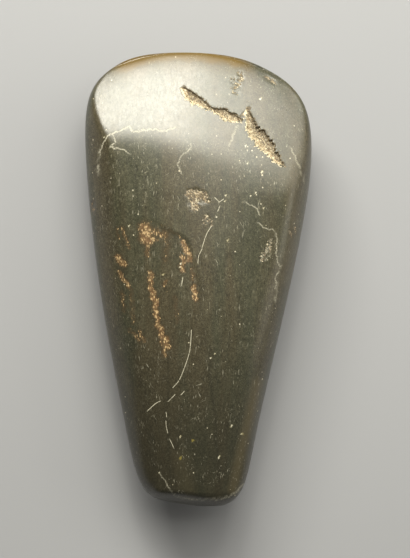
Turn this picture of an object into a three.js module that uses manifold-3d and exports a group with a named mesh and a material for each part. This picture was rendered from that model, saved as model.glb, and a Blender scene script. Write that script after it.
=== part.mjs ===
// A ground and polished stone axe head, lying on its underside.
// Units are millimetres: +X across the blade, +Y towards the cutting edge, +Z up.
// The origin is under the middle of the bounding box, on the surface that the stone lies on.

import * as THREE from "three";
import { NURBSCurve } from "three/addons/curves/NURBSCurve.js";
import { ParametricGeometry } from "three/addons/geometries/ParametricGeometry.js";
import { mergeVertices } from "three/addons/utils/BufferGeometryUtils.js";
import Module from "manifold-3d";

const { lerp, smoothstep } = THREE.MathUtils;

// Driving dimensions
const LENGTH = 150; // butt end to the middle of the cutting edge
const WIDTH = 75; // across the shoulders
const THICKNESS = 32; // face to face, at the thickest place
const REST_FLAT_DEPTH = 0.5; // worn off the underside, so the stone lies without rolling
const BUTT_FLAT_DEPTH = 0.4; // worn off the butt end

// Control points of the closed outline, clockwise from the left of the cutting edge.
// They are for a blank of 150 by 75, and the outline is scaled to the driving dimensions.
const OUTLINE_CONTROL = [
  [-19, 75], [9, 75], [23, 70], [38, 60], // cutting edge and right shoulder
  [39, 34], [29, -11], [19, -51], // right side
  [16, -71], [7, -76], [-10, -73], [-20, -71], // butt
  [-25, -44], [-33, -6], [-38, 39], // left side
  [-38, 62], [-29, 70], // left shoulder
];

// The two broad faces: a crest along the length, rounded across
const HALF_THICKNESS = (THICKNESS + REST_FLAT_DEPTH) / 2;
const CREST_FALL = 0.47; // share of the half thickness lost over half a length
const TOP_CREST_Y = -2; // where the upper face is highest
const UNDERSIDE_CREST_Y = 3; // where the underside is lowest, below the centre of mass
const MIDDLE_CAMBER = 0.55; // share of the height lost from the crest to the side, at the middle
const BLADE_CAMBER = 0.22; // and where the face meets the bevel
const CAMBER_FROM_Y = -10;
const BEVEL_START_Y = 45;
const BUTT_HALF_WIDTH = 15;
const BUTT_CREST_X = -2; // the crest bends off centre towards the butt
const CREST_BEND_Y = 20;

// The bevel that the cutting edge is ground with
const EDGE_RADIUS = 58; // of the cutting edge, seen from above
const EDGE_CROWN_X = -4; // the edge reaches furthest left of the middle
const BEVEL_SLOPE = 0.3;
const BEVEL_ROUNDING = 0.6;
const BEVEL_SKEW = 0.0015; // the upper bevel is longer on the right

// How the surface rises from the rim: height = rise * sqrt(distance) + slope * distance
const LEFT_RIM = { rise: 3.3, slope: 0.25 };
const RIGHT_RIM = { rise: 4.8, slope: 0.15 }; // ground squarer than the left
const BLADE_RIM = { rise: 1.5, slope: 0.5 };
const BUTT_RIM = { rise: 3.6, slope: 0.5 };
const BEVEL_BLEND = 2.5; // rounding between face and bevel
const LEFT_BLEND = 1.6; // rounding between the faces and the ground sides
const RIGHT_BLEND = 4;

// Natural cracks in the upper face: x, y, width and depth along each one
const LONG_CRACK = [
  [-4.5, 62, 1.4, 0.5],
  [-2, 59.5, 3, 0.9],
  [0.5, 58, 2.6, 1],
  [3, 56, 1.8, 0.9],
  [6, 54.5, 2.6, 1.1],
  [9, 53.5, 3.4, 1.2],
  [12, 52, 2.6, 1],
  [14, 51, 0.9, 0.4],
];
const WIDE_CRACK = [
  [15.5, 55, 1, 0.5],
  [16.5, 52.5, 2.2, 0.9],
  [17, 49.5, 3, 1.1],
  [19.5, 46.5, 4.8, 1.3],
  [21, 44.5, 4.6, 1.3],
  [23, 42.5, 3.4, 1.2],
  [24.5, 40, 2.6, 1.1],
  [26, 38.5, 2.2, 1],
  [28, 37, 0.7, 0.4],
];
const CRACK_STEPS = 16;
const CRACK_FLOOR_SHARE = 0.5; // floor width over mouth width
const CUTTER_CLEARANCE = 1; // how far a cutter stands above the surface

// Shallow flakes lost from the surface: x, y, across, along and depth
const FACE_FLAKE = [-0.5, 26.2, 6.4, 6, 0.3];
const SIDE_FLAKE = [-35, 24, 2.4, 4.5, 0.8];

// Fineness of the mesh
const OUTLINE_STEPS = 96; // round the outline
const RIM_RINGS = 4; // rings in the strip along the rim
const FACE_RINGS = 8; // rings from that strip to the middle
const RIM_STRIP = 5; // width of that strip
const OUTLINE_SAMPLES = 480; // for measuring distances to the outline

const wasm = await Module();
wasm.setup();

function outlineCurve() {
  const degree = 3;
  const ring = [...OUTLINE_CONTROL, ...OUTLINE_CONTROL.slice(0, degree)];
  const control = ring.map(([x, y]) => new THREE.Vector4(x, y, 0, 1));
  const knots = Array.from({ length: control.length + degree + 1 }, (_, i) => i);
  return new NURBSCurve(degree, knots, control, degree, control.length);
}

// The outline as points, scaled so that the finished stone has its length and width
function outlinePoints(curve, count) {
  const points = Array.from({ length: count }, (_, i) => curve.getPoint(i / count));
  const box = new THREE.Box3().setFromPoints(points);
  const size = box.getSize(new THREE.Vector3());
  const middle = box.getCenter(new THREE.Vector3());
  const along = (LENGTH + BUTT_FLAT_DEPTH) / size.y;
  return points.map((point) => new THREE.Vector2(
    ((point.x - middle.x) * WIDTH) / size.x,
    (point.y - middle.y) * along - BUTT_FLAT_DEPTH / 2,
  ));
}

const outline = outlinePoints(outlineCurve(), OUTLINE_SAMPLES);

function outlineNormal(index) {
  const before = outline.at(index - 1);
  const after = outline[(index + 1) % outline.length];
  return new THREE.Vector2(before.y - after.y, after.x - before.x).normalize();
}

// Distance from a point to the outline, and the outward normal there
function toRim(x, y) {
  const point = new THREE.Vector2(x, y);
  let nearest = 0;
  for (let i = 1; i < outline.length; i += 1) {
    if (point.distanceToSquared(outline[i]) < point.distanceToSquared(outline[nearest])) nearest = i;
  }
  const normal = outlineNormal(nearest);
  const straight = point.distanceTo(outline[nearest]);
  const square = Math.abs(point.sub(outline[nearest]).dot(normal));
  return { distance: straight < 1 ? square : straight, normal };
}

function smoothMin(a, b, blend) {
  const overlap = Math.max(blend - Math.abs(a - b), 0) / blend;
  return Math.min(a, b) - (overlap ** 3 * blend) / 6;
}

function faceHeight(x, y, crestY) {
  const crest = HALF_THICKNESS * (1 - CREST_FALL * ((y - crestY) / (LENGTH / 2)) ** 2);
  const camber = lerp(MIDDLE_CAMBER, BLADE_CAMBER, smoothstep(y, CAMBER_FROM_Y, BEVEL_START_Y));
  const taper = Math.min((y + LENGTH / 2) / (BEVEL_START_Y + LENGTH / 2), 1);
  const halfWidth = lerp(BUTT_HALF_WIDTH, WIDTH / 2, Math.sin((taper * Math.PI) / 2));
  const crestX = BUTT_CREST_X * smoothstep(-y, -CREST_BEND_Y, LENGTH / 2);
  return crest * (1 - camber * ((x - crestX) / halfWidth) ** 2);
}

function bevelHeight(x, y, skew) {
  const edgeY = LENGTH / 2 - (x - EDGE_CROWN_X) ** 2 / (2 * EDGE_RADIUS);
  const back = Math.max(edgeY - y, 0);
  return BEVEL_ROUNDING * Math.sqrt(back) + (BEVEL_SLOPE - skew * x) * back;
}

const rightShare = (normal) => smoothstep(normal.x, -0.3, 0.3);

function rimHeight(distance, normal) {
  const blade = smoothstep(normal.y, 0.3, 0.85);
  const butt = smoothstep(-normal.y, 0.6, 0.95);
  const mix = (key) => lerp(LEFT_RIM[key], RIGHT_RIM[key], rightShare(normal)) * (1 - blade - butt)
    + BLADE_RIM[key] * blade
    + BUTT_RIM[key] * butt;
  return mix("rise") * Math.sqrt(distance) + mix("slope") * distance;
}

// Height over the plane of the rim, at a point inside the outline
function surfaceHeight(x, y, crestY, skew) {
  const { distance, normal } = toRim(x, y);
  const face = faceHeight(x, y, crestY);
  const bevel = bevelHeight(x, y, skew);
  const rim = rimHeight(distance, normal);
  const ground = smoothMin(face, bevel, BEVEL_BLEND * THREE.MathUtils.clamp(bevel / 6, 0.01, 1));
  const rounding = lerp(LEFT_BLEND, RIGHT_BLEND, rightShare(normal));
  const blend = rounding * THREE.MathUtils.clamp(Math.min(ground, rim) / 4, 0.01, 1);
  return Math.max(smoothMin(ground, rim, blend), 0);
}

const topHeight = (x, y) => surfaceHeight(x, y, TOP_CREST_Y, BEVEL_SKEW);
const undersideHeight = (x, y) => surfaceHeight(x, y, UNDERSIDE_CREST_Y, 0);

// The whole stone as rings: from the middle of the top out to the rim, and back in under the stone
function stoneGeometry() {
  const rings = RIM_RINGS + FACE_RINGS;
  const middle = new THREE.Vector2(0, 0);

  function place(u, v, target) {
    const index = (Math.round(u * OUTLINE_STEPS) % OUTLINE_STEPS) * (OUTLINE_SAMPLES / OUTLINE_STEPS);
    const ring = Math.round((1 - 2 * v) * rings);
    const inwards = Math.abs(ring);
    const strip = RIM_STRIP * Math.min(inwards / RIM_RINGS, 1) ** 2;
    const inset = outline[index].clone().addScaledVector(outlineNormal(index), -strip);
    inset.lerp(middle, Math.max(inwards - RIM_RINGS, 0) / FACE_RINGS);
    const height = ring > 0 ? topHeight(inset.x, inset.y) : -undersideHeight(inset.x, inset.y);
    target.set(inset.x, inset.y, ring === 0 ? 0 : height);
  }

  return new ParametricGeometry(place, OUTLINE_STEPS, 2 * rings);
}

// A cutter that follows a crack: a trapezium across, wide above the surface and narrow at the floor
function crackGeometry(crack) {
  const path = new THREE.CatmullRomCurve3(crack.map(([x, y]) => new THREE.Vector3(x, y, 0)));
  const section = new THREE.CatmullRomCurve3(crack.map(([, , width, depth]) => new THREE.Vector3(width, depth, 0)));
  const geometry = new THREE.BoxGeometry(1, 1, 1, CRACK_STEPS, 1, 1);
  const position = geometry.getAttribute("position");
  for (let i = 0; i < position.count; i += 1) {
    const t = position.getX(i) + 0.5;
    const tangent = path.getTangent(t);
    const { x: width, y: depth } = section.getPoint(t);
    const atMouth = position.getZ(i) > 0;
    const across = position.getY(i) * width * (atMouth ? 1 : CRACK_FLOOR_SHARE);
    const point = path.getPoint(t).addScaledVector(new THREE.Vector3(-tangent.y, tangent.x, 0), across);
    const surface = topHeight(point.x, point.y);
    position.setXYZ(i, point.x, point.y, atMouth ? surface + CUTTER_CLEARANCE : surface - depth);
  }
  return geometry;
}

function flakeGeometry([x, y, across, along, depth]) {
  const geometry = new THREE.IcosahedronGeometry(1, 2);
  geometry.scale(across / 2, along / 2, depth);
  return geometry.translate(x, y, topHeight(x, y));
}

// Everything beyond a plane, as a box as large as the stone
function flatGeometry(x, y, z) {
  return new THREE.BoxGeometry(2 * LENGTH, 2 * LENGTH, 2 * LENGTH).translate(x, y, z);
}

function solid(geometry) {
  const bare = geometry.clone();
  bare.deleteAttribute("normal");
  bare.deleteAttribute("uv");
  const merged = mergeVertices(bare, 1e-4);
  const index = merged.getIndex().array;
  const triangles = [];
  for (let i = 0; i < index.length; i += 3) {
    const [a, b, c] = index.slice(i, i + 3);
    if (a !== b && b !== c && c !== a) triangles.push(a, b, c);
  }
  return new wasm.Manifold(new wasm.Mesh({
    numProp: 3,
    vertProperties: merged.getAttribute("position").array,
    triVerts: Uint32Array.from(triangles),
  }));
}

function axeHeadGeometry() {
  const restFlat = flatGeometry(0, 0, REST_FLAT_DEPTH - HALF_THICKNESS - LENGTH);
  const buttFlat = flatGeometry(0, -1.5 * LENGTH, 0);
  const cutters = [
    restFlat,
    buttFlat,
    crackGeometry(LONG_CRACK),
    crackGeometry(WIDE_CRACK),
    flakeGeometry(FACE_FLAKE),
    flakeGeometry(SIDE_FLAKE),
  ];
  const stone = cutters.reduce((body, cutter) => body.subtract(solid(cutter)), solid(stoneGeometry()));
  const { vertProperties, triVerts } = stone.getMesh();
  const geometry = new THREE.BufferGeometry();
  geometry.setAttribute("position", new THREE.BufferAttribute(vertProperties, 3));
  geometry.setIndex(new THREE.BufferAttribute(triVerts, 1));
  geometry.computeVertexNormals();
  return geometry;
}

function axeHead() {
  const stone = new THREE.MeshStandardMaterial({ color: 0x565040, roughness: 0.32, metalness: 0 });
  const mesh = new THREE.Mesh(axeHeadGeometry(), stone);
  mesh.name = "axe_head";
  mesh.position.z = HALF_THICKNESS - REST_FLAT_DEPTH;
  return mesh;
}

const axe = new THREE.Group();
axe.add(axeHead());

export default axe;
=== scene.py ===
import math

import bpy
import numpy as np
from mathutils import Matrix, Vector, kdtree, noise
from mathutils.geometry import delaunay_2d_cdt


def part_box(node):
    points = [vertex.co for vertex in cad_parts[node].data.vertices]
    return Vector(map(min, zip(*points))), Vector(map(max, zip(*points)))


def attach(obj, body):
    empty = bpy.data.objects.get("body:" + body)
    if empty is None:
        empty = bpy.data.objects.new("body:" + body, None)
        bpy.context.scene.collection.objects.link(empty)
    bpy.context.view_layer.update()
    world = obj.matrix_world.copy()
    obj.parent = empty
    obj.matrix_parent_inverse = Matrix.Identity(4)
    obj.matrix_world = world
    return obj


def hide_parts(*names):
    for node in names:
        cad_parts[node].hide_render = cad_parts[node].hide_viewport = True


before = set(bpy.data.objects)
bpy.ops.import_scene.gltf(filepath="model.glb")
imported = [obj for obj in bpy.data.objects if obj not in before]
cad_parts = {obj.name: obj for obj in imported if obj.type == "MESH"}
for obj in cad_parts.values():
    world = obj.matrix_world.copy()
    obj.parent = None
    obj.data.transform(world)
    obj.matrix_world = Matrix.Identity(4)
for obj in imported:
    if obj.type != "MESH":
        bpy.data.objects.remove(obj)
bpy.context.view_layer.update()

# A ground and polished stone axe head, lying on its underside with the cutting edge towards +Y.
# Places on the stone are millimetres from its middle, seen from above. Blender's own units are metres.

mm = 0.001
boxLow, boxHigh = [np.array(corner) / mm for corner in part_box("axe_head")]
length = boxHigh[1] - boxLow[1]
width = boxHigh[0] - boxLow[0]
thickness = boxHigh[2] - boxLow[2]

scene = bpy.context.scene
scene.view_settings.view_transform = "Standard"


# camera, straight above the stone

view = {
    "seenHeight": 184.7,  # what the frame takes in, top to bottom, at the rim of the stone
    "distance": 700,  # from the rim
    "middle": (2.2, 0.0),
}


def makeCamera():
    data = bpy.data.cameras.new("overhead")
    data.sensor_width = 36
    data.lens = data.sensor_width * view["distance"] / view["seenHeight"]
    data.clip_start = 0.05
    camera = bpy.data.objects.new("overhead", data)
    x, y = view["middle"]
    camera.location = (x * mm, y * mm, (thickness / 2 + view["distance"]) * mm)
    scene.collection.objects.link(camera)
    scene.camera = camera


# the ground form of the stone

form = {
    # control points of the closed outline, clockwise from the left of the cutting edge
    "outline": [(-19, 75), (9, 75), (23, 70), (38, 60), (39, 34), (29, -11), (19, -51), (16, -71),
                (7, -76), (-10, -73), (-20, -71), (-25, -44), (-33, -6), (-38, 39), (-38, 62), (-29, 70)],
    "outlineSamples": 480,
    "restFlat": 0.5,  # worn off the underside
    "buttFlat": 0.4,  # worn off the butt end
    "crestFall": 0.47,  # share of the half thickness lost over half a length
    "topCrestY": -2,
    "underCrestY": 3,
    "middleCamber": 0.55,
    "bladeCamber": 0.22,
    "camberFromY": -10,
    "bevelStartY": 45,
    "buttHalfWidth": 15,
    "buttCrestX": -2,
    "crestBendY": 20,
    "edgeRadius": 58,
    "edgeCrownX": -4,
    "bevelSlope": 0.3,
    "bevelRounding": 0.6,
    "bevelSkew": 0.0015,  # on the upper side alone
    "bevelBlend": 2.5,
    "rimBlend": (1.6, 4.0),  # left and right
    # rise and slope of the rim: height = rise * sqrt(distance) + slope * distance
    "leftRim": (3.3, 0.25),
    "rightRim": (4.8, 0.15),  # ground squarer than the left
    "bladeRim": (1.5, 0.5),
    "buttRim": (3.6, 0.5),
}
halfThickness = (thickness + form["restFlat"]) / 2
rimZ = halfThickness - form["restFlat"]


def smoothStep(value, low, high):
    t = np.clip((value - low) / (high - low), 0, 1)
    return t * t * (3 - 2 * t)


def smoothMin(a, b, blend):
    overlap = np.maximum(blend - np.abs(a - b), 0) / blend
    return np.minimum(a, b) - overlap ** 3 * blend / 6


def closedSpline(control, samples):  # uniform cubic B-spline
    control = np.array(control, float)
    u = np.arange(samples) / samples * len(control)
    first = u.astype(int)
    t = (u - first)[:, None]
    weights = [(1 - t) ** 3 / 6, (3 * t ** 3 - 6 * t ** 2 + 4) / 6,
               (-3 * t ** 3 + 3 * t ** 2 + 3 * t + 1) / 6, t ** 3 / 6]
    return sum(weight * control[(first + k) % len(control)] for k, weight in enumerate(weights))


def makeOutline():
    points = closedSpline(form["outline"], form["outlineSamples"])
    low, high = points.min(0), points.max(0)
    size = np.array([width, length + form["buttFlat"]])
    points = (points - (low + high) / 2) * size / (high - low)
    return points - (0, form["buttFlat"] / 2)


outline = makeOutline()
outlineAlong = np.roll(outline, -1, 0) - np.roll(outline, 1, 0)
outlineAlong /= np.linalg.norm(outlineAlong, axis=1)[:, None]
outlineNormal = np.stack([-outlineAlong[:, 1], outlineAlong[:, 0]], 1)


def nearestSample(points, samples):
    tree = kdtree.KDTree(len(samples))
    for i, (x, y) in enumerate(samples[:, :2].tolist()):
        tree.insert((x, y, 0), i)
    tree.balance()
    return np.array([tree.find((x, y, 0))[1] for x, y in points.tolist()], int)


def distanceToRim(points):  # inside is positive; also the outward normal at the nearest rim point
    nearest = nearestSample(points, outline)
    away = outline[nearest] - points
    normal = outlineNormal[nearest]
    square = (away * normal).sum(1)
    straight = np.linalg.norm(away, axis=1)
    return np.where(straight < 1, square, np.copysign(straight, square)), normal


def faceHeight(x, y, crestY):
    crest = halfThickness * (1 - form["crestFall"] * ((y - crestY) / (length / 2)) ** 2)
    bladeShare = smoothStep(y, form["camberFromY"], form["bevelStartY"])
    camber = form["middleCamber"] + (form["bladeCamber"] - form["middleCamber"]) * bladeShare
    taper = np.clip((y + length / 2) / (form["bevelStartY"] + length / 2), 0, 1)
    halfWidth = form["buttHalfWidth"] + (width / 2 - form["buttHalfWidth"]) * np.sin(taper * math.pi / 2)
    crestX = form["buttCrestX"] * smoothStep(-y, -form["crestBendY"], length / 2)
    return crest * (1 - camber * ((x - crestX) / halfWidth) ** 2)


def bevelBack(x, y):  # distance back from the cutting edge
    edgeY = length / 2 - (x - form["edgeCrownX"]) ** 2 / (2 * form["edgeRadius"])
    return np.maximum(edgeY - y, 0)


def surfaceHeight(points, crestY, skew):  # over the plane of the rim
    x, y = points[:, 0], points[:, 1]
    distance, normal = distanceToRim(points)
    distance = np.maximum(distance, 0)
    back = bevelBack(x, y)
    bevel = form["bevelRounding"] * np.sqrt(back) + (form["bevelSlope"] - skew * x) * back
    blade = smoothStep(normal[:, 1], 0.3, 0.85)
    butt = smoothStep(-normal[:, 1], 0.6, 0.95)
    right = smoothStep(normal[:, 0], -0.3, 0.3)
    rise, slope = [(left + (square - left) * right) * (1 - blade - butt) + edge * blade + end * butt
                   for left, square, edge, end in zip(*[form[key] for key in (
                       "leftRim", "rightRim", "bladeRim", "buttRim")])]
    rim = rise * np.sqrt(distance) + slope * distance
    ground = smoothMin(faceHeight(x, y, crestY), bevel, form["bevelBlend"] * np.clip(bevel / 6, 0.01, 1))
    leftBlend, rightBlend = form["rimBlend"]
    blend = (leftBlend + (rightBlend - leftBlend) * right) * np.clip(np.minimum(ground, rim) / 4, 0.01, 1)
    return np.maximum(smoothMin(ground, rim, blend), 0)


def topHeight(points):
    return surfaceHeight(points, form["topCrestY"], form["bevelSkew"])


def underHeight(points):
    return surfaceHeight(points, form["underCrestY"], 0)


# marks on the stone: natural cracks, pale veins, scratches and worn-in flecks

cracks = {  # x, y, width and depth along each crack in the upper face
    "paths": [
        [(-4.6, 62.2, 1.2, 0.4), (-2, 59.5, 2.8, 0.9), (0.8, 57.8, 2.2, 0.8), (3.2, 56.3, 1.3, 0.6),
         (5.6, 55.2, 1.7, 0.6), (8.4, 54.2, 2.8, 0.9), (11.2, 53, 2.8, 0.9), (14, 51.8, 0.9, 0.4)],
        [(16.2, 55.6, 0.9, 0.4), (16.8, 52.8, 2.2, 0.8), (17.4, 49.8, 3.2, 1), (19.3, 47, 4.6, 1.2),
         (21, 44.8, 4.6, 1.2), (23, 42.6, 3.4, 1.1), (24.6, 40.4, 2.6, 1), (26.2, 38.6, 2.2, 0.8),
         (28, 37, 0.7, 0.4)],
    ],
    "jags": [(0.25, 2.6), (0.3, 0.8)],  # how the sides wander: share of the width, length
    "wall": 0.7,  # width of the broken wall
    "fringe": 0.9,  # width of the bruised stone around it
    "tilt": 0.25,  # how much shallower the floor is towards the upper side
    "reach": 4,  # nothing further off than this belongs to a crack
}
flakes = [  # x, y, across, along and depth of shallow lost flakes
    (-0.5, 26.2, 6.4, 6, 0.18),
    (-35, 24, 2.2, 4.5, 0.8),
]
chips = [  # broken patches of pale stone: half width and strength, then the points
    (2.4, 0.85, [(-2.4, 27.4), (1.6, 27)]),
    (1.9, 0.8, [(-1.4, 25.2), (-0.9, 23.2)]),
    (1.0, 0.7, [(0.8, 26.5), (3, 25)]),
    (1.9, 0.4, [(2.4, 19.8), (3.4, 18.2)]),
    (1.4, 0.35, [(20.6, 6.4), (22.3, 8.6), (23.8, 12.8)]),
    (0.45, 0.95, [(30.3, 15.9), (30.6, 14.6)]),
    (0.45, 0.95, [(31.5, 16.9), (31.8, 15.4)]),
    (1.3, 0.55, [(13.5, 68), (14.2, 66), (13, 63.5)]),
    (1.6, 0.4, [(11.5, 65.5), (12, 61.5)]),
    (0.9, 0.7, [(22.5, 66.8), (25.2, 65)]),
    (0.8, 0.65, [(14.5, 53.5), (17, 56.5)]),
    (0.8, 0.6, [(-5.4, 62.5), (-4, 60)]),
]
specksAndGlints = [  # single bright specks, the white ones painted glints: x, y, half length along Y, half width and how pale, from gold at 0
    (10.9, -47.8, 0.5, 0.26, 1), (6.7, -58.3, 0.6, 0.24, 1), (14, -50.7, 0.4, 0.18, 0.7),
    (21.1, -25.5, 0.5, 0.2, 1), (21.1, -34.8, 0.3, 0.22, 0.9), (4, -25.6, 0.25, 0.35, 1),
    (5.4, -24.2, 0.3, 0.3, 0.6), (20.4, 59.2, 0.4, 0.4, 1), (-5.9, -51.4, 0.6, 0.2, 0.8),
    (-30.8, 46.2, 0.3, 0.25, 0.8), (9.5, 12.5, 0.35, 0.35, 0.5), (-1.8, -52.5, 0.5, 0.5, 0),
    (-5.8, -58.4, 0.7, 0.5, 0), (18.7, 28, 0.35, 0.3, 0.9), (17, 27, 0.3, 0.3, 0.9),
    (8.9, 27.1, 0.3, 0.35, 0.8), (8.6, 25.2, 0.25, 0.3, 0.7), (-5.7, 4.9, 0.35, 0.3, 1),
    (-5.9, 3.9, 0.2, 0.3, 1), (-11.4, 1.4, 0.4, 0.4, 0.4), (-22.6, 17.2, 0.3, 0.3, 0.8),
    (-12.8, -63.3, 0.3, 0.25, 0.9), (15.4, 43.4, 0.35, 0.3, 1), (16, 37.6, 0.3, 0.25, 0.9),
    (20.6, 34.6, 0.4, 0.3, 0.8), (21.2, 23, 0.3, 0.3, 0.8),
]
streaks = [  # lengthwise veins of darker stone: half width and strength, then the points
    (1.0, 0.8, [(3.6, -22), (4.1, -34), (5.3, -43), (5.6, -50)]),
    (0.8, 0.7, [(5.6, -50), (6.6, -60), (7.2, -69)]),
    (0.5, 0.9, [(-20.6, 34), (-20, 29), (-19.3, 22.5)]),
    (0.5, 0.8, [(-30, 27.5), (-29.4, 20)]),
    (0.4, 0.6, [(-25.8, 33), (-25.4, 22)]),
    (0.5, 0.8, [(-21.4, -33), (-21.5, -41)]),
    (0.4, 0.7, [(-10.8, -38), (-10.7, -46)]),
    (1.2, 0.6, [(-12, 16.5), (-6.5, 14), (-3.6, 11.5)]),
    (0.7, 0.6, [(-9.6, -26), (-9.9, -46), (-9, -66)]),
    (1.6, 0.4, [(0.6, 14), (1, -4), (1.6, -20)]),
    (2.2, 0.35, [(-22, -18), (-17, -45), (-14.5, -66)]),
    (0.8, 0.5, [(-27.5, -18), (-23.5, -40), (-20, -58)]),
    (0.7, 0.5, [(13.2, 30), (14, 8), (13, -14)]),
]
strips = [  # broad lengthwise strips of paler brown stone: half width and strength, then the points
    (3.2, 0.55, [(19.5, -34), (16.8, -46), (14, -57), (11.6, -69)]),
    (4.5, 0.2, [(-6, -58), (-3, -72)]),
    (5.5, 0.3, [(30, 40), (30.5, 20), (28, 0)]),
]
veins = {  # pale hairline veins: width and strength, then the points
    "paths": [
        (0.34, 0.9, [(-33, 34), (-32.5, 40), (-31, 44.5), (-29, 47), (-26.5, 48), (-24, 49),
                     (-22.5, 49.8), (-21, 48), (-17.5, 48.5), (-14, 48.8), (-11.5, 48.2), (-7.5, 49.5)]),
        (0.32, 0.7, [(-28, 47.4), (-27, 44.8), (-28.5, 43.2), (-26.5, 42.6), (-24, 42), (-22.2, 40.5)]),
        (0.5, 0.5, [(12.8, 50), (11.5, 47), (10, 43.5)]),
        (0.32, 0.6, [(-2.2, 43.8), (-3.3, 41.5), (-5, 40.5), (-6.5, 37.8), (-6.2, 35.8), (-5.2, 34.2)]),
        (0.3, 0.5, [(15.3, 24.8), (19, 22.8), (20, 20.6)]),
        (0.3, 0.55, [(19.4, 18.2), (21.8, 16.4), (24.1, 15.9), (25.5, 14), (25.5, 7.5), (26.7, 3.3),
                     (25.3, 1), (25.5, -3.6), (25, -7.3)]),
        (0.3, 0.5, [(30.5, 42.7), (33.6, 35.3), (35.2, 31.6)]),
        (0.5, 0.8, [(-28.6, 43), (-26.8, 42.6)]),
        (0.34, 0.6, [(23.8, 13), (23.1, 10.6), (21.9, 8.8)]),
        (0.34, 0.6, [(22.9, 9.4), (21.4, 7.6), (20.2, 6.2)]),
        (0.3, 0.5, [(23.3, 8), (21.8, 6)]),
        (0.3, 0.5, [(-12.6, -63.5), (-10.6, -66.5), (-8.4, -70), (-7, -71.4)]),
        (0.5, 0.5, [(-7, -71.4), (-3, -72.2), (3, -72.2), (8, -72), (12, -70.4), (14.5, -67.8)]),
    ],
    "wander": 0.14,
}
scratches = {  # bright hair scratches: width and depth, then the points
    "paths": [
        (0.28, 0.06, [(4.4, 17.3), (2.7, 14.5), (1.3, 10.3)]),
        (0.26, 0.05, [(1.1, 9.4), (0.2, 7.5), (-0.1, 5.2)]),
        (0.28, 0.07, [(-2.2, -16.6), (-2.4, -20), (-2.8, -23.5), (-4.3, -28.3), (-6.2, -32.8),
                      (-8.1, -35.1)]),
        (0.3, 0.06, [(-7.7, -37.7), (-9.7, -39.7)]),
        (0.36, 0.07, [(-12.4, -39.7), (-14, -40.6), (-16.7, -43.1)]),
        (0.3, 0.05, [(-4.7, -36.6), (-5.5, -37.5)]),
        (0.26, 0.05, [(-10.5, -46.3), (-10.4, -48), (-10, -49.8)]),
        (0.26, 0.05, [(-9.4, -52), (-8.6, -53.6), (-8, -55)]),
        (0.26, 0.05, [(-10.4, -43.6), (-10.3, -44.8)]),
        (0.4, 0.06, [(-5, 0.5), (-5.4, -2)]),
        (0.3, 0.05, [(6.3, 21.9), (7, 23.6)]),
        (0.26, 0.04, [(5.6, 26.2), (6.6, 25.2)]),
        (0.26, 0.04, [(6.9, 25), (8.2, 25.9)]),
    ],
    "rowSpacing": 0.2,  # mesh rows on either side of the groove
}
flecks = {  # rows of worn-in brown flecks: half width and strength, then the points
    "paths": [
        (3.4, 1.1, [(-17.4, 16.5), (-16.4, 12.5)]),
        (2.4, 0.6, [(-14.5, 15.5), (-10.5, 14)]),
        (1.4, 0.6, [(-16.8, 12), (-16.4, 7.5)]),
        (0.7, 0.35, [(-12, 18), (-8, 15.2), (-5, 12.8)]),
        (1.7, 1.0, [(-5, 11.6), (-3.4, 8.6), (-3, 6.4)]),
        (1.5, 0.8, [(-4.6, 7), (-5.4, 2.5)]),
        (1.1, 0.5, [(-2, 3.5), (-1.6, -0.5)]),
        (1.3, 1.0, [(-1.4, -2), (-0.8, -7)]),
        (1.8, 1.0, [(-26.3, 7.4), (-24.3, 4.6)]),
        (1.2, 0.8, [(-26, 2.6), (-24, -0.5), (-22.3, -2.6)]),
        (1.2, 0.45, [(-25, -4), (-24.2, -10.5)]),
        (1.3, 0.55, [(-22.5, -16.5), (-19, -20)]),
        (1.0, 0.5, [(-25, 17), (-22.5, 10)]),
        (0.8, 0.5, [(-26.7, 17), (-26, 13)]),
        (1.5, 0.85, [(-15.4, 2.4), (-15.4, -2.5)]),
        (1.6, 1.1, [(-15.2, -3), (-13.6, -9)]),
        (1.3, 1.0, [(-14, -9), (-13, -15)]),
        (1.6, 1.0, [(-13, -15), (-9.6, -22)]),
        (1.4, 0.6, [(-12.2, -19), (-10.6, -24.5)]),
        (1.0, 0.7, [(-10.4, -0.6), (-11, -2.6)]),
        (1.4, 0.35, [(-22, -4), (-21, -14)]),
        (1.4, 0.35, [(-10.5, 6), (-10, 12)]),
        (1.2, 0.35, [(-7.5, -6), (-6.8, -14)]),
        (0.9, 0.6, [(-19, -17), (-17.6, -20.4)]),
        (0.7, 0.9, [(-34.9, 26), (-34.6, 22)]),
    ],
    "wander": 0.25,
    # the worn area that most of them lie in
    "area": [(-27, 17), (-17, 20), (-9, 16), (-3.5, 13), (-0.5, 4), (0.5, -8), (-8, -25), (-17, -24),
             (-24, -13), (-27.5, 2)],
    "areaFade": (-0.3, 1.2),  # over its border, inwards
    "areaStrength": 0.2,
    "areaDepth": 0.12,
}
speckBands = [  # where pale specks crowd together: half width and strength, then the points
    (2.6, 1.1, [(16.5, 43), (19.5, 37.5), (20, 33), (19.5, 28), (21, 22.8)]),
    (2.0, 0.6, [(22, 20), (23, 12), (24, 0), (25, -12), (24, -20)]),
    (2.2, 1.3, [(22.5, 12), (20, 7.5)]),
    (2.2, 0.9, [(13, 68.5), (13.5, 64), (11.5, 62)]),
    (1.6, 0.8, [(21, 68), (26, 65.5), (30, 61)]),
    (1.6, 0.6, [(-26, 67), (-31, 64.5), (-34, 58)]),
    (1.2, 0.8, [(-2.5, 43), (-5, 40), (-6, 35)]),
    (1.4, 1.0, [(-9.5, -53), (-9, -60), (-8, -69)]),
    (1.0, 0.8, [(-21.5, 30), (-19.6, 24)]),
    (1.4, 1.0, [(-6, -71.8), (3, -72.2), (12, -70.5)]),
    (1.6, 0.5, [(-35, 45), (-35, 10), (-30, -20), (-24, -50)]),
    (3.0, 0.5, [(0, 30), (4, 20), (8, 21)]),
]


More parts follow.
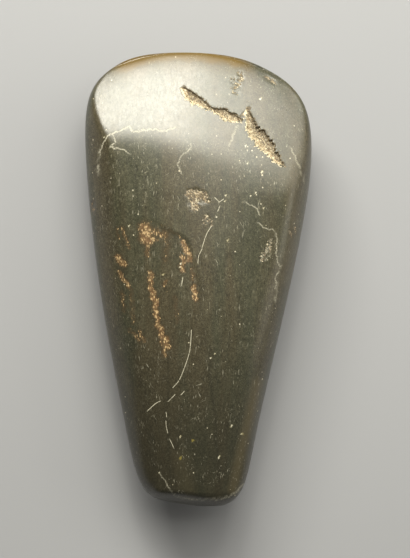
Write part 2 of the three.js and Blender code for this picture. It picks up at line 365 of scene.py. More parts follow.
def smoothPath(knots, spacing, wander=0):  # Catmull-Rom through the knots, every column alike
    knots = np.array(knots, float)
    padded = np.vstack([2 * knots[0] - knots[1], knots, 2 * knots[-1] - knots[-2]])
    pieces = []
    for a, b, c, d in zip(padded, padded[1:], padded[2:], padded[3:]):
        steps = max(int(np.linalg.norm(c[:2] - b[:2]) / spacing), 1)
        t = (np.arange(steps) / steps)[:, None]
        pieces.append(b + 0.5 * t * (c - a + t * (2 * a - 5 * b + 4 * c - d + t * (3 * (b - c) + d - a))))
    path = np.vstack(pieces + [knots[-1:]])
    x, y = path[:, 0].copy(), path[:, 1].copy()
    path[:, 0] += wander * (np.sin(2.3 * y + 0.9 * x) + 0.6 * np.sin(5.1 * y - 3.3 * x))
    path[:, 1] += wander * (np.sin(2.9 * x - 0.7 * y) + 0.6 * np.sin(4.7 * x + 3.7 * y))
    return path


def besidePath(points, path):  # nearest sample, signed distance to the side, and distance
    nearest = nearestSample(points, path[:, :2])
    along = np.gradient(path[:, :2], axis=0)
    along /= np.linalg.norm(along, axis=1)[:, None]
    away = points - path[nearest, :2]
    side = along[nearest, 0] * away[:, 1] - along[nearest, 1] * away[:, 0]
    distance = np.linalg.norm(away, axis=1)
    atEnd = (nearest == 0) | (nearest == len(path) - 1)
    return nearest, side, np.where(atEnd, distance, np.abs(side))


def nearPath(points, path, reach):  # indices of the points close enough to matter
    low, high = path[:, :2].min(0) - reach, path[:, :2].max(0) + reach
    return np.flatnonzero(((points > low) & (points < high)).all(1))


def raggedWidth(path, nearest, side):  # half the crack's width, with each side wandering by itself
    steps = np.r_[0, np.cumsum(np.linalg.norm(np.diff(path[:, :2], axis=0), axis=1))]
    wander = np.zeros((2, len(steps)))
    for share, size in cracks["jags"]:
        for row in (0, 1):
            wander[row] += [2 * share * noise.noise((s / size, row * 7.3, path[0, 0])) for s in steps]
    row = (side > 0).astype(int)
    return path[nearest, 2] / 2 * (1 + wander[row, nearest])


def crackMarks(points):  # depth, how far inside a crack, the bruised fringe, and the place across: -1 to 1
    depth, inside, fringe, across = np.zeros((4, len(points)))
    for knots in cracks["paths"]:
        path = smoothPath(knots, 0.15)
        at = nearPath(points, path, cracks["reach"])
        nearest, side, distance = besidePath(points[at], path)
        half = raggedWidth(path, nearest, side)
        share = 1 - smoothStep(distance, half - cracks["wall"], half + 0.1)
        floor = path[nearest, 3] * (1 - cracks["tilt"] * side / (half + 0.5))
        depth[at] = np.maximum(depth[at], share * floor)
        inside[at] = np.maximum(inside[at], share)
        fringe[at] = np.maximum(fringe[at], 1 - smoothStep(distance, half, half + cracks["fringe"]))
        across[at] = np.where(distance < half + 1, np.clip(side / (half + 0.1), -1, 1), across[at])
    return depth, inside, fringe, across


def flakeDepth(points):
    depth = np.zeros(len(points))
    for x, y, across, along, deep in flakes:
        radius = np.hypot((points[:, 0] - x) / across * 2, (points[:, 1] - y) / along * 2)
        radius += 0.25 * np.sin(3 * np.arctan2(points[:, 1] - y, points[:, 0] - x) + x)
        depth = np.maximum(depth, deep * (1 - smoothStep(radius, 0.5, 1.1)))
    return depth


def lineStrength(points, lines, soft, wander=0):  # lines fade over the soft share of their width
    strength = np.zeros(len(points))
    for size, power, knots in lines:
        path = smoothPath(knots, min(size, 0.5), wander)
        at = nearPath(points, path, size * 3)
        if len(at):
            distance = besidePath(points[at], path)[2]
            faded = smoothStep(distance, size * (1 - soft), size)
            strength[at] = np.maximum(strength[at], power * (1 - faded))
    return strength


def speckAndGlintMarks(points):  # strength and paleness of the single specks and painted glints, which lean and have ragged edges
    strength, paleness = np.zeros((2, len(points)))
    for x, y, tall, wide, pale in specksAndGlints:
        right, up = points[:, 0] - x, points[:, 1] - y
        turn = np.arctan2(up, right)
        ragged = 0.25 * np.sin(3 * turn + x) + 0.15 * np.sin(5 * turn)
        radius = np.hypot((right - 0.3 * up) / wide, up / tall) + ragged
        share = 1 - smoothStep(radius, 0.5, 1.2)
        strength = np.maximum(strength, share * (0.7 + 0.3 * pale))
        paleness = np.where(share > 0, pale, paleness)
    return strength, paleness


def insideArea(points, corners):  # even-odd test
    inside = np.zeros(len(points), bool)
    corners = np.array(corners, float)
    for (ax, ay), (bx, by) in zip(corners, np.roll(corners, -1, 0)):
        crosses = (ay > points[:, 1]) != (by > points[:, 1])
        inside ^= crosses & (points[:, 0] < (bx - ax) * (points[:, 1] - ay) / (by - ay + 1e-9) + ax)
    return inside


def wornArea(points):  # 1 well inside the worn area, 0 outside
    border = smoothPath(flecks["area"] + flecks["area"][:1], 0.5)
    distance = np.linalg.norm(border[nearestSample(points, border)] - points, axis=1)
    signed = np.where(insideArea(points, border), distance, -distance)
    return smoothStep(signed, *flecks["areaFade"])


# the mesh: rings along the rim, then a lattice that is finer where there are marks

mesh = {
    "rings": 12,
    "ringStep": 0.034,  # the k-th ring is k * k times this from the rim
    "topSpacing": 0.5,
    "wornSpacing": 0.36,
    "crackSpacing": 0.2,
    "underSpacing": 1.0,
    "rowShares": (-1, -0.5, 0, 0.5, 1),  # rows of points across a scratch or vein, in widths
    "spotRings": (0.5, 1, 1.3),  # rings of points around each speck, painted glints too, in its half widths
    "rowClearance": 0.22,  # the lattice keeps this far from them
    "leastRise": 0.02,  # no mark goes lower than this over the plane of the rim
}


def lattice(spacing):  # triangular lattice over the whole stone
    x = np.arange(-width / 2, width / 2, spacing)
    y = np.arange(-length / 2, length / 2, spacing * math.sqrt(0.75))
    grid = np.stack(np.meshgrid(x, y), -1)
    grid[1::2, :, 0] += spacing / 2
    return grid.reshape(-1, 2)


def rimRings():
    reach = mesh["ringStep"] * np.arange(mesh["rings"] + 1) ** 2
    return [outline - outlineNormal * r for r in reach]


def insidePoints(spacing):
    points = lattice(spacing)
    innermost = mesh["ringStep"] * mesh["rings"] ** 2
    return points[distanceToRim(points)[0] > innermost + spacing * 0.6]


def grooveRows():  # mesh points in rows along every scratch and vein, and around every speck and painted glint
    rows = []
    spacing = scratches["rowSpacing"]
    lines = [(*line, 0) for line in scratches["paths"]]
    lines += [(*line, veins["wander"]) for line in veins["paths"]]
    for size, _, knots, wander in lines:
        path = smoothPath(knots, spacing, wander)
        along = np.gradient(path, axis=0)
        along /= np.linalg.norm(along, axis=1)[:, None]
        sideways = np.stack([-along[:, 1], along[:, 0]], 1)
        rows += [path + sideways * size * share for share in mesh["rowShares"]]
    around = np.arange(8) * math.pi / 4
    for x, y, tall, wide, _ in specksAndGlints:
        for r in mesh["spotRings"]:
            rows.append(np.c_[x + wide * r * np.cos(around), y + tall * r * np.sin(around)])
        rows.append(np.array([(x, y)]))
    return rows


def topPoints():
    zones = [("topSpacing", None), ("wornSpacing", wornZone), ("crackSpacing", crackZone)]
    kept = np.empty((0, 2))
    for key, zone in zones:
        points = insidePoints(mesh[key])
        if zone:
            kept = kept[~zone(kept)]
            points = points[zone(points)]
        kept = np.vstack([kept, points])
    rows = np.vstack(grooveRows())
    rows = rows[distanceToRim(rows)[0] > mesh["ringStep"] * mesh["rings"] ** 2 + 0.2]
    toRow = np.linalg.norm(rows[nearestSample(kept, rows)] - kept, axis=1)
    kept = kept[toRow > mesh["rowClearance"]]
    return np.vstack(rimRings() + [kept, rows])


def wornZone(points):
    return (wornArea(points) > 0) | (lineStrength(points, flecks["paths"], 0.3) > 0)


def crackZone(points):
    padded = [[(x, y, wide + 1.2, deep) for x, y, wide, deep in knots] for knots in cracks["paths"]]
    near = np.zeros(len(points), bool)
    for knots in padded:
        path = smoothPath(knots, 0.3)
        at = nearPath(points, path, cracks["reach"])
        nearest, _, distance = besidePath(points[at], path)
        near[at] |= distance < path[nearest, 2] / 2 + 0.3
    return near | (flakeDepth(points) > 0.01)


def triangulate(points):
    count = len(outline)
    rimEdges = [(i, (i + 1) % count) for i in range(count)]
    corners, _, faces, *_ = delaunay_2d_cdt([Vector(p) for p in points], rimEdges, [], 1, 1e-5)
    faces = np.array(faces)
    corners = np.array(corners)
    a, b, c = corners[faces[:, 0]], corners[faces[:, 1]], corners[faces[:, 2]]
    clockwise = (b[:, 0] - a[:, 0]) * (c[:, 1] - a[:, 1]) < (b[:, 1] - a[:, 1]) * (c[:, 0] - a[:, 0])
    faces[clockwise] = faces[clockwise, ::-1]
    return corners, faces


def addAttribute(meshData, name, values):
    layer = meshData.attributes.new(name, "FLOAT", "POINT")
    layer.data.foreach_set("value", np.asarray(values, np.float32))


def makeStoneMesh():
    top, topFaces = triangulate(topPoints())
    under, underFaces = triangulate(np.vstack(rimRings() + [insidePoints(mesh["underSpacing"])]))
    crackDepth, crackInside, fringe, across = crackMarks(top)
    speckAndGlint, paleness = speckAndGlintMarks(top)
    worn = wornArea(top)
    grooves = [(size / 2, power, knots) for size, power, knots in scratches["paths"]]
    lines = [(size / 2, 1, knots) for size, _, knots in scratches["paths"]]
    lowered = crackDepth + flakeDepth(top) + worn * flecks["areaDepth"] + lineStrength(top, grooves, 1)
    topZ = topHeight(top)
    topZ = np.where(topZ > 0, np.maximum(topZ - lowered, mesh["leastRise"]), 0)
    underZ = -np.minimum(underHeight(under), rimZ)
    points = np.vstack([np.c_[top, topZ], np.c_[under, underZ]])
    points[:, 1] = np.maximum(points[:, 1], -length / 2)
    points[:, 2] += rimZ
    faces = np.vstack([topFaces, underFaces[:, ::-1] + len(top)])

    data = bpy.data.meshes.new("axe_head_stone")
    data.from_pydata((points * mm).tolist(), [], faces.tolist())
    plan = points[:, :2]
    onTop = {
        "crack": crackInside,
        "fringe": fringe * (1 - crackInside),
        "across": across,
        "fleck": lineStrength(top, flecks["paths"], 1.0, flecks["wander"]),
        "chip": lineStrength(top, chips, 0.6),
        "worn": worn,
        "vein": lineStrength(top, veins["paths"], 0.9, veins["wander"]),
        "streak": lineStrength(top, streaks, 0.9),
        "scratch": lineStrength(top, lines, 0.9),
        "specks": lineStrength(top, speckBands, 0.9),
        "strip": lineStrength(top, strips, 1.0),
        "speckAndGlint": speckAndGlint,
        "pale": paleness,
    }
    for name, values in onTop.items():
        addAttribute(data, name, np.r_[values, np.zeros(len(under))])
    addAttribute(data, "edgeBack", bevelBack(plan[:, 0], plan[:, 1]))
    addAttribute(data, "rim", distanceToRim(plan)[0])
    return data


# node trees: sums of sockets are written as Python sums

class Wire:
    def __init__(self, nodes, socket):
        self.nodes = nodes
        self.socket = socket

    def __add__(self, other):
        return self.nodes.maths("ADD", self, other)

    def __radd__(self, other):
        return self.nodes.maths("ADD", other, self)

    def __sub__(self, other):
        return self.nodes.maths("SUBTRACT", self, other)

    def __rsub__(self, other):
        return self.nodes.maths("SUBTRACT", other, self)

    def __mul__(self, other):
        return self.nodes.maths("MULTIPLY", self, other)

    def __rmul__(self, other):
        return self.nodes.maths("MULTIPLY", other, self)

    def output(self, name):  # another output of the same node
        return Wire(self.nodes, self.socket.node.outputs[name])


class Nodes:
    def __init__(self, tree):
        self.tree = tree

    def add(self, kind, settings=None, sockets=None, output=0):
        node = self.tree.nodes.new(kind)
        for name, value in (settings or {}).items():
            setattr(node, name, value)
        for key, value in (sockets or {}).items():
            if isinstance(value, Wire):
                self.tree.links.new(value.socket, node.inputs[key])
            else:
                node.inputs[key].default_value = value
        return Wire(self, node.outputs[output]) if node.outputs else None

    def maths(self, operation, *values):
        return self.add("ShaderNodeMath", {"operation": operation}, dict(enumerate(values)))

    def stretch(self, place, factors):
        return self.add("ShaderNodeVectorMath", {"operation": "MULTIPLY"}, {0: place, 1: factors})

    def scale(self, place, factor):
        return self.add("ShaderNodeVectorMath", {"operation": "SCALE"}, {0: place, "Scale": factor})

    def ease(self, value, low, high):  # 0 at low, 1 at high, smooth between
        sockets = {0: value, 1: low, 2: high}
        return self.add("ShaderNodeMapRange", {"interpolation_type": "SMOOTHSTEP"}, sockets)

    def mix(self, share, a, b):  # colours
        return self.add("ShaderNodeMix", {"data_type": "RGBA"}, {0: share, 6: a, 7: b}, 2)

    def noise(self, place, detail=3.0, roughness=0.5):
        sockets = {"Vector": place, "Scale": 1.0, "Detail": detail, "Roughness": roughness}
        return self.add("ShaderNodeTexNoise", {}, sockets)

    def cells(self, place, output="Distance"):
        return self.add("ShaderNodeTexVoronoi", {}, {"Vector": place, "Scale": 1.0}, output)

    def turn(self, place, angle):  # about Z
        sockets = {"Vector": place, "Angle": angle}
        return self.add("ShaderNodeVectorRotate", {"rotation_type": "Z_AXIS"}, sockets)

    def shift(self, place, offset):
        return self.add("ShaderNodeVectorMath", {"operation": "ADD"}, {0: place, 1: offset})

    def part(self, place, axis):
        return self.add("ShaderNodeSeparateXYZ", {}, {0: place}, axis)

    def red(self, colour):
        return self.part(colour, "X")


# patterns that the relief and the colours share, in millimetres

pattern = {
    "grain": 0.6,  # broken grains in cracks and chips
    "brokenClump": 1.3,
    "brokenLimit": 0.42,  # a higher limit leaves less of the surface covered
    "fleckAcross": 0.42,
    "fleckAlong": 0.75,
    "fleckClump": (1.9, 0.9, 1.9),
    "fleckLimit": 0.78,
    "clumpWeight": 2.4,
    "pickWeight": 0.4,
    "pitSpacing": 1.5,
    "pitSize": 0.2,
}


def covered(nodes, density, clump, pick, limit):  # where a pattern shows: nowhere at density 0
    value = density + pattern["clumpWeight"] * (clump - 0.5) + pattern["pickWeight"] * (pick - 0.5)
    return nodes.ease(value, limit, limit + 0.14) * nodes.ease(density, 0.02, 0.15)


def brokenPattern(nodes, place, density):  # coverage by broken grains, and each grain's own pick
    pick = nodes.red(nodes.cells(nodes.scale(place, 1 / pattern["grain"]), "Color"))
    clump = nodes.noise(nodes.scale(place, pattern["brokenClump"]), 3.0, 0.65)
    return covered(nodes, density, clump, pick, pattern["brokenLimit"]), pick


def fleckPattern(nodes, place, density):  # coverage by brown flecks, and each fleck's own pick
    across, along = 1 / pattern["fleckAcross"], 1 / pattern["fleckAlong"]
    scaled = nodes.stretch(place, (across, along, across))
    pick = nodes.red(nodes.cells(scaled, "Color"))
    grain = 1 - 0.8 * nodes.ease(nodes.cells(scaled), 0.38, 0.65)
    clump = nodes.noise(nodes.stretch(place, pattern["fleckClump"]), 3.0, 0.75)
    return covered(nodes, density, clump, pick, pattern["fleckLimit"]) * grain, pick


def pitPattern(nodes, place, crowd):  # small round pits, more of them where they crowd
    scaled = nodes.scale(place, 1 / pattern["pitSpacing"])
    pick = nodes.red(nodes.cells(scaled, "Color"))
    least = 0.9 - 0.65 * crowd
    spread = 0.4 + 1.2 * nodes.ease(pick, least, 1.0) + 0.5 * crowd
    size = pattern["pitSize"] / pattern["pitSpacing"] * spread
    near = 1 - nodes.ease(nodes.cells(scaled), size * 0.4, size)
    return near * nodes.maths("GREATER_THAN", pick, least)


# relief that follows the marks, all of it cut inwards: depths in millimetres

relief = {
    "Wave depth": 0.12,
    "Crack grain": 0.22,
    "Chip depth": 0.1,
    "Fleck depth": 0.07,
    "Pit depth": 0.06,
}


def startTree(name, inputs):
    tree = bpy.data.node_groups.new(name, "GeometryNodeTree")
    tree.interface.new_socket("Geometry", in_out="INPUT", socket_type="NodeSocketGeometry")
    for key in inputs:
        tree.interface.new_socket(key, in_out="INPUT", socket_type="NodeSocketFloat")
    tree.interface.new_socket("Geometry", in_out="OUTPUT", socket_type="NodeSocketGeometry")
    nodes = Nodes(tree)
    return nodes, nodes.add("NodeGroupInput")


def mark(nodes, name):
    return nodes.add("GeometryNodeInputNamedAttribute", {"data_type": "FLOAT"}, {"Name": name})


def makeReliefTree(material):
    nodes, given = startTree("stone_relief", relief)
    place = nodes.scale(nodes.add("GeometryNodeInputPosition"), 1 / mm)
    crack = mark(nodes, "crack")
    wave = given.output("Wave depth") * nodes.noise(nodes.scale(place, 0.06), 1.0)
    broken = nodes.cells(nodes.scale(place, 1 / pattern["grain"]))
    floor = given.output("Crack grain") * crack * broken
    chip = given.output("Chip depth") * brokenPattern(nodes, place, mark(nodes, "chip"))[0]
    density = mark(nodes, "fleck") + flecks["areaStrength"] * mark(nodes, "worn")
    fleck = given.output("Fleck depth") * fleckPattern(nodes, place, density)[0]
    pit = given.output("Pit depth") * pitPattern(nodes, place, mark(nodes, "specks"))
    height = nodes.part(place, "Z")
    keep = nodes.ease(mark(nodes, "rim"), 0.0, 2.5) * nodes.ease(height, 0.2, 1.5)
    cut = (wave + floor + chip + fleck + pit) * keep  # none of it at the rim and the flats
    offset = nodes.scale(nodes.add("GeometryNodeInputNormal"), cut * -mm)
    moved = nodes.add("GeometryNodeSetPosition", {}, {"Geometry": given, "Offset": offset})
    smooth = nodes.add("GeometryNodeSetShadeSmooth", {}, {"Geometry": moved})
    finished = nodes.add("GeometryNodeSetMaterial", {}, {"Geometry": smooth, "Material": material})
    nodes.add("NodeGroupOutput", {}, {0: finished})
    return nodes.tree


def plainMesh(piece, tree, values, name):  # what a node tree makes of a piece, as a mesh of its own
    modifier = piece.modifiers.new(tree.name, "NODES")
    modifier.node_group = tree
    for item in tree.interface.items_tree:
        if item.in_out == "INPUT" and item.name in values:
            modifier[item.identifier] = float(values[item.name])
    evaluated = piece.evaluated_get(bpy.context.evaluated_depsgraph_get())
    result = bpy.data.meshes.new_from_object(evaluated)
    result.name = name
    piece.modifiers.remove(modifier)
    return result


# loose grains left in the cracks

grains = {
    "Spacing": 0.42,
    "Smallest": 0.1,
    "Largest": 0.24,
    "Seed": 4,
}


def makeGrainTree(material):
    nodes, given = startTree("crack_grains", grains)
    crack = nodes.ease(mark(nodes, "crack"), 0.55, 0.95)
    sockets = {"Mesh": given, "Distance Min": given.output("Spacing") * mm, "Density Max": 1e7,
               "Density Factor": crack, "Seed": given.output("Seed")}
    points = nodes.add("GeometryNodeDistributePointsOnFaces", {"distribute_method": "POISSON"}, sockets)
    lump = nodes.add("GeometryNodeMeshIcoSphere", {}, {"Radius": 1.0, "Subdivisions": 1})
    sizes = given.output("Smallest"), given.output("Largest")
    least, most = [nodes.add("ShaderNodeCombineXYZ", {}, {0: size, 1: size, 2: size}) for size in sizes]
    vector = {"data_type": "FLOAT_VECTOR"}
    size = nodes.add("FunctionNodeRandomValue", vector, {0: least, 1: most, "ID": 3})
    turn = nodes.add("FunctionNodeRandomValue", vector, {0: (0, 0, 0), 1: (6.28, 6.28, 6.28)})
    placed = nodes.add("GeometryNodeInstanceOnPoints", {}, {
        "Points": points, "Instance": lump, "Rotation": turn, "Scale": nodes.scale(size, mm)})
    tone = nodes.add("FunctionNodeRandomValue", {"data_type": "FLOAT"}, {2: 0.0, 3: 1.0, "Seed": 9}, 1)
    toned = nodes.add("GeometryNodeStoreNamedAttribute", {"data_type": "FLOAT", "domain": "INSTANCE"}, {
        "Geometry": placed, "Name": "tone", "Value": tone})
    real = nodes.add("GeometryNodeRealizeInstances", {}, {"Geometry": toned})
    smooth = nodes.add("GeometryNodeSetShadeSmooth", {}, {"Geometry": real})
    finished = nodes.add("GeometryNodeSetMaterial", {}, {"Geometry": smooth, "Material": material})
    nodes.add("NodeGroupOutput", {}, {0: finished})
    return nodes.tree


# materials

stoneLook = {  # linear colours
    "greenGrey": (0.050, 0.051, 0.030, 1),
    "brown": (0.065, 0.053, 0.029, 1),
    "dark": (0.018, 0.017, 0.010, 1),
    "light": (0.14, 0.128, 0.082, 1),
    "pale": (0.70, 0.66, 0.52, 1),
    "cream": (0.72, 0.63, 0.45, 1),
    "tan": (0.33, 0.25, 0.145, 1),
    "gold": (0.55, 0.385, 0.195, 1),
    "oldGold": (0.30, 0.24, 0.06, 1),
    "rust": (0.17, 0.088, 0.032, 1),
    # soil colour, also used as painted shade in the broken stone
    "soilAndPaintedShade": (0.060, 0.042, 0.022, 1),
    "amber": (0.130, 0.080, 0.014, 1),
    "paleBrown": (0.105, 0.083, 0.044, 1),
    "polish": 0.31,  # roughness of the ground surface
    "wear": 0.2,  # how far it varies
    "ior": 1.62,
    "bumps": (0.006, 0.011, 0.08),  # honed lines, grit and broken stone
    "crackTurn": 0.72,  # turns the layers in the broken stone along the cracks
    "streakShare": 0.8,
    "pitShare": 0.8,
    "veinShare": 0.75,
    "fleckShare": 0.95,
    "fleckGround": (0.5, 0.4),  # soil and rust in the stone around the flecks
    "edgeBand": (1.4, 4.0, 8.0),  # the translucent edge: full, fading, and its last tint, back from the edge
    "edgeReach": (-31, -24, 12, 20),  # where along the edge it starts, is full, fades and ends
}


def newMaterial(name):
    material = bpy.data.materials.new(name)
    material.use_nodes = True
    material.node_tree.nodes.clear()
    nodes = Nodes(material.node_tree)
    place = nodes.scale(nodes.add("ShaderNodeTexCoord", {}, {}, "Object"), 1 / mm)
    return material, nodes, place


def finishMaterial(nodes, sockets):
    shader = nodes.add("ShaderNodeBsdfPrincipled", {}, sockets)
    nodes.add("ShaderNodeOutputMaterial", {}, {"Surface": shader})


def shaderMark(nodes, name):
    return nodes.add("ShaderNodeAttribute", {"attribute_name": name}, {}, "Fac")


bodyTones = {
    "bandStretch": (0.11, 0.012, 0.11),  # broad bands, green grey to brown
    "bandRange": (0.38, 0.62),
    # streaks, mottling, coarse and fine grain: stretch, detail and roughness of the noise, then
    # share, start and end of what is lighter and of what is darker
    "layers": [
        ((0.9, 0.06, 0.9), 4.0, 0.6, (0.3, 0.55, 0.8), (0.35, 0.45, 0.25)),
        ((0.3, 0.2, 0.3), 5.0, 0.65, (0.3, 0.5, 0.75), (0.45, 0.48, 0.28)),
        ((1.5, 1.1, 1.5), 2.0, 0.6, (0.5, 0.52, 0.75), (0.6, 0.47, 0.3)),
        ((3.0, 2.4, 3.0), 2.0, 0.6, (0.6, 0.52, 0.72), (0.7, 0.47, 0.3)),
    ],
    "buttPaintedShade": 0.62,  # painted shade: how much darker the butt end is painted
    "buttPaintedShadeReach": (10.0, -65.0),  # Y where the painted shade starts and is full
}
hairs = {  # worn-in hairlines: most run lengthwise, some across
    "directions": [(0.06, 0.66), (-0.5, 0.7), (1.15, 0.71)],  # turn, and how seldom
    "stretch": (3.4, 0.32, 3.4),
    "softness": 0.09,
    "share": 0.35,
}


def stoneBody(nodes, place):
    look, tones = stoneLook, bodyTones
    bands = nodes.noise(nodes.stretch(place, tones["bandStretch"]), 3.0, 0.55)
    colour = nodes.mix(nodes.ease(bands, *tones["bandRange"]), look["greenGrey"], look["brown"])
    for stretch, detail, roughness, light, dark in tones["layers"]:
        texture = nodes.noise(nodes.stretch(place, stretch), detail, roughness)
        for (share, start, end), tone in ((light, look["light"]), (dark, look["dark"])):
            colour = nodes.mix(share * nodes.ease(texture, start, end), colour, tone)
    # painted shade: the colour is darkened towards the butt end
    paintedShade = tones["buttPaintedShade"] * nodes.ease(nodes.part(place, "Y"), *tones["buttPaintedShadeReach"])
    return nodes.mix(paintedShade, colour, look["dark"])


def hairlines(nodes, place):
    total = 0.0
    for angle, least in hairs["directions"]:
        shifted = nodes.shift(nodes.turn(place, angle), (angle * 50, 0, 0))
        line = nodes.noise(nodes.stretch(shifted, hairs["stretch"]), 1.0, 0.5)
        total = total + nodes.ease(line, least, least + hairs["softness"])
    patches = nodes.ease(nodes.noise(nodes.scale(place, 0.15), 2.0), 0.35, 0.65)
    return hairs["share"] * total * patches


def brokenColour(nodes, place, pick, across):  # tan broken stone, with a painted highlight in cream on the lower lip and painted shade in soil colour above and between the grains
    look = stoneLook
    fine = nodes.noise(nodes.scale(place, 2.0), 3.0, 0.65)
    # painted highlight: the lower lip of the broken stone is painted cream
    paintedLitLip = nodes.ease(fine - across, 0.95, 1.35)
    colour = nodes.mix(nodes.ease(0.5 * pick + fine, 0.6, 1.0), look["tan"], look["cream"])
    colour = nodes.mix(0.5 * nodes.maths("GREATER_THAN", pick, 0.9), colour, look["rust"])
    colour = nodes.mix(0.8 * paintedLitLip, colour, look["cream"])
    # painted shade: soil colour along the layers, in the gaps between grains and on the upper side
    turned = nodes.turn(place, look["crackTurn"])
    layers = nodes.noise(nodes.stretch(turned, (0.7, 2.2, 1.2)), 4.0, 0.7)
    gaps = nodes.cells(nodes.scale(place, 1 / pattern["grain"]))
    paintedShade = nodes.ease(0.3 * gaps + layers + 0.2 * across, 0.5, 0.72)
    return nodes.mix(0.85 * paintedShade * (1 - 0.7 * paintedLitLip), colour, look["soilAndPaintedShade"])


def edgeTint(nodes, place):  # share of amber along the cutting edge, where the stone is thin
    look = stoneLook
    x = nodes.part(place, "X")
    start, full, fade, end = look["edgeReach"]
    near, far, last = look["edgeBand"]
    back = shaderMark(nodes, "edgeBack") + 2.4 * nodes.noise(nodes.scale(place, 0.3), 2.0) - 1.2
    tint = 0.75 * (1 - nodes.ease(back, near, far)) + 0.2 * (1 - nodes.ease(back, far, last))
    return tint * nodes.ease(x, start, full) * (1 - nodes.ease(x, fade, end))


def makeStoneMaterial():
    look = stoneLook
    material, nodes, place = newMaterial("ground_greenstone")
    crack, vein, scratch, streak, speckAndGlint = [
        shaderMark(nodes, name) for name in ("crack", "vein", "scratch", "streak", "speckAndGlint")]
    breakUp = nodes.noise(nodes.scale(place, 2.2), 2.0, 0.7)
    colour = nodes.mix(shaderMark(nodes, "strip"), stoneBody(nodes, place), look["paleBrown"])
    colour = nodes.mix(look["streakShare"] * streak * nodes.ease(breakUp, 0.35, 0.6), colour, look["dark"])
    colour = nodes.mix(edgeTint(nodes, place), colour, look["amber"])

    colour = nodes.mix(hairlines(nodes, place), colour, look["pale"])
    pits = pitPattern(nodes, place, shaderMark(nodes, "specks"))
    pitTint = nodes.mix(nodes.ease(breakUp, 0.45, 0.6), look["cream"], look["pale"])
    colour = nodes.mix(look["pitShare"] * pits, colour, pitTint)

    density = shaderMark(nodes, "fleck") + flecks["areaStrength"] * shaderMark(nodes, "worn")
    flecked, fleckPick = fleckPattern(nodes, place, density)
    fleckTint = nodes.mix(nodes.ease(fleckPick + breakUp, 0.7, 1.3), look["rust"], look["gold"])
    soilShare, rustShare = look["fleckGround"]
    colour = nodes.mix(soilShare * nodes.ease(density + breakUp, 0.55, 1.1), colour, look["soilAndPaintedShade"])
    colour = nodes.mix(rustShare * nodes.ease(density + breakUp, 0.9, 1.6), colour, look["rust"])
    colour = nodes.mix(look["fleckShare"] * flecked, colour, fleckTint)

    lines = vein * nodes.ease(breakUp, 0.35, 0.55)
    colour = nodes.mix(look["veinShare"] * lines, colour, look["pale"])
    colour = nodes.mix(scratch * nodes.ease(breakUp, 0.3, 0.5), colour, look["pale"])
    # painted glints: the white specks are painted highlights, the gold ones are speck colour
    colour = nodes.mix(speckAndGlint, colour, nodes.mix(shaderMark(nodes, "pale"), look["oldGold"], look["pale"]))

    chipped, pick = brokenPattern(nodes, place, shaderMark(nodes, "chip") + 0.6 * shaderMark(nodes, "fringe"))
    bare = nodes.maths("MAXIMUM", nodes.ease(crack + breakUp, 0.8, 1.1), chipped)
    colour = nodes.mix(bare, colour, brokenColour(nodes, place, pick, shaderMark(nodes, "across")))

    wear = nodes.noise(nodes.stretch(place, (1.6, 0.07, 1.6)), 4.0, 0.6)
    roughness = look["polish"] + look["wear"] * (wear - 0.5) + 0.4 * bare + 0.3 * flecked + 0.2 * lines
    hone = nodes.noise(nodes.stretch(place, (6.0, 0.35, 6.0)), 3.0, 0.6)
    grit = nodes.noise(nodes.scale(place, 2.6), 3.0, 0.65)
    honed, gritty, broken = look["bumps"]
    crumb = nodes.noise(nodes.scale(place, 4.0), 3.0, 0.7)
    height = honed * hone + gritty * grit + broken * bare * crumb
    bump = nodes.add("ShaderNodeBump", {}, {"Strength": 1.0, "Distance": mm, "Height": height})
    finishMaterial(nodes, {"Base Color": colour, "Roughness": roughness, "IOR": look["ior"], "Normal": bump})
    return material


def makeGrainMaterial():
    look = stoneLook
    material, nodes, place = newMaterial("crack_grain")
    tone = shaderMark(nodes, "tone")
    colour = nodes.mix(nodes.ease(tone, 0.1, 0.6), look["tan"], look["cream"])
    colour = nodes.mix(nodes.ease(tone, 0.88, 0.9), colour, look["rust"])
    patchy = nodes.noise(nodes.scale(place, 6.0), 2.0)
    colour = nodes.mix(0.6 * nodes.ease(patchy, 0.5, 0.7), colour, look["tan"])
    finishMaterial(nodes, {"Base Color": colour, "Roughness": 0.6 + 0.2 * patchy})
    return material


# studio

studio = {
    "floorColour": (0.36, 0.365, 0.39, 1),
    "floorSize": 6000,
    "lightColour": (1.0, 0.97, 0.85),
    "worldStrength": 0.13,
    "aim": (0, 20, 12),
    # softboxes: lean from upright towards +X and +Y in degrees, distance, size, watts
    "boxes": {
        "key_left": {"lean": (-21, 52), "distance": 760, "size": (450, 180), "watts": 7.0},
        "key_right": {"lean": (13.5, 45.5), "distance": 740, "size": (340, 240), "watts": 2.7},
        "fill": {"lean": (25, 29), "distance": 890, "size": (1000, 550), "watts": 4.6},
        "side": {"lean": (68, 10), "distance": 900, "size": (520, 600), "watts": 1.9},
    },
}


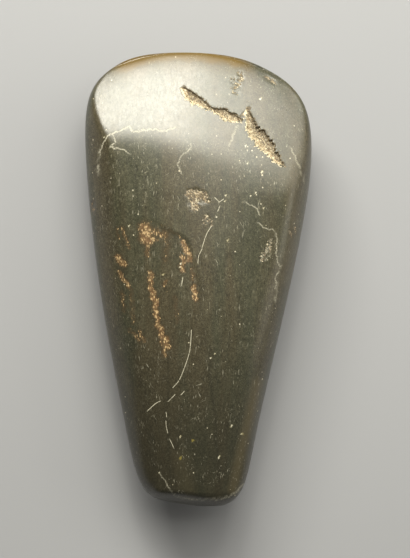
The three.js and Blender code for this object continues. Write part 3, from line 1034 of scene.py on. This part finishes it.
def makeFloor():
    data = bpy.data.meshes.new("floor")
    half = studio["floorSize"] / 2 * mm
    corners = [(-half, -half, 0), (half, -half, 0), (half, half, 0), (-half, half, 0)]
    data.from_pydata(corners, [], [(0, 1, 2, 3)])
    floor = bpy.data.objects.new("floor", data)
    scene.collection.objects.link(floor)
    material, nodes, place = newMaterial("studio_floor")
    soft = nodes.noise(nodes.scale(place, 0.02), 2.0)
    dull = {"Base Color": studio["floorColour"], "Roughness": 0.9 + 0.1 * soft, "Specular IOR Level": 0.1}
    finishMaterial(nodes, dull)
    data.materials.append(material)


def makeSoftbox(name, box):
    leanX, leanY = [math.tan(math.radians(angle)) for angle in box["lean"]]
    direction = Vector((leanX, leanY, 1)).normalized()
    data = bpy.data.lights.new(name, "AREA")
    data.shape = "RECTANGLE"
    data.size, data.size_y = [side * mm for side in box["size"]]
    data.energy = box["watts"]
    data.color = studio["lightColour"]
    light = bpy.data.objects.new(name, data)
    light.location = (Vector(studio["aim"]) + direction * box["distance"]) * mm
    across = Vector((0, 1, 0)).cross(direction).normalized()
    light.matrix_world = Matrix.Translation(light.location) @ Matrix(
        (across, direction.cross(across), direction)).transposed().to_4x4()
    scene.collection.objects.link(light)


def makeWorld():
    world = bpy.data.worlds.new("studio")
    world.use_nodes = True
    background = world.node_tree.nodes["Background"]
    background.inputs["Color"].default_value = (*studio["lightColour"], 1)
    background.inputs["Strength"].default_value = studio["worldStrength"]
    scene.world = world


def addPiece(data, name):
    piece = bpy.data.objects.new(name, data)
    scene.collection.objects.link(piece)
    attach(piece, "root")
    return piece


makeCamera()
makeWorld()
makeFloor()
for name, box in studio["boxes"].items():
    makeSoftbox(name, box)
print("studio is set")

blank = bpy.data.objects.new("blank", makeStoneMesh())
scene.collection.objects.link(blank)
print("stone is shaped:", len(blank.data.polygons), "triangles")
reliefTree = makeReliefTree(makeStoneMaterial())
stone = addPiece(plainMesh(blank, reliefTree, relief, "axe_head_stone"), "axe_head_stone")
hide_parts("axe_head")
bpy.data.objects.remove(blank)
print("relief is cut")
grainTree = makeGrainTree(makeGrainMaterial())
crackGrains = addPiece(plainMesh(stone, grainTree, grains, "crack_grains"), "crack_grains")
print("grains are laid:", len(crackGrains.data.polygons), "triangles")
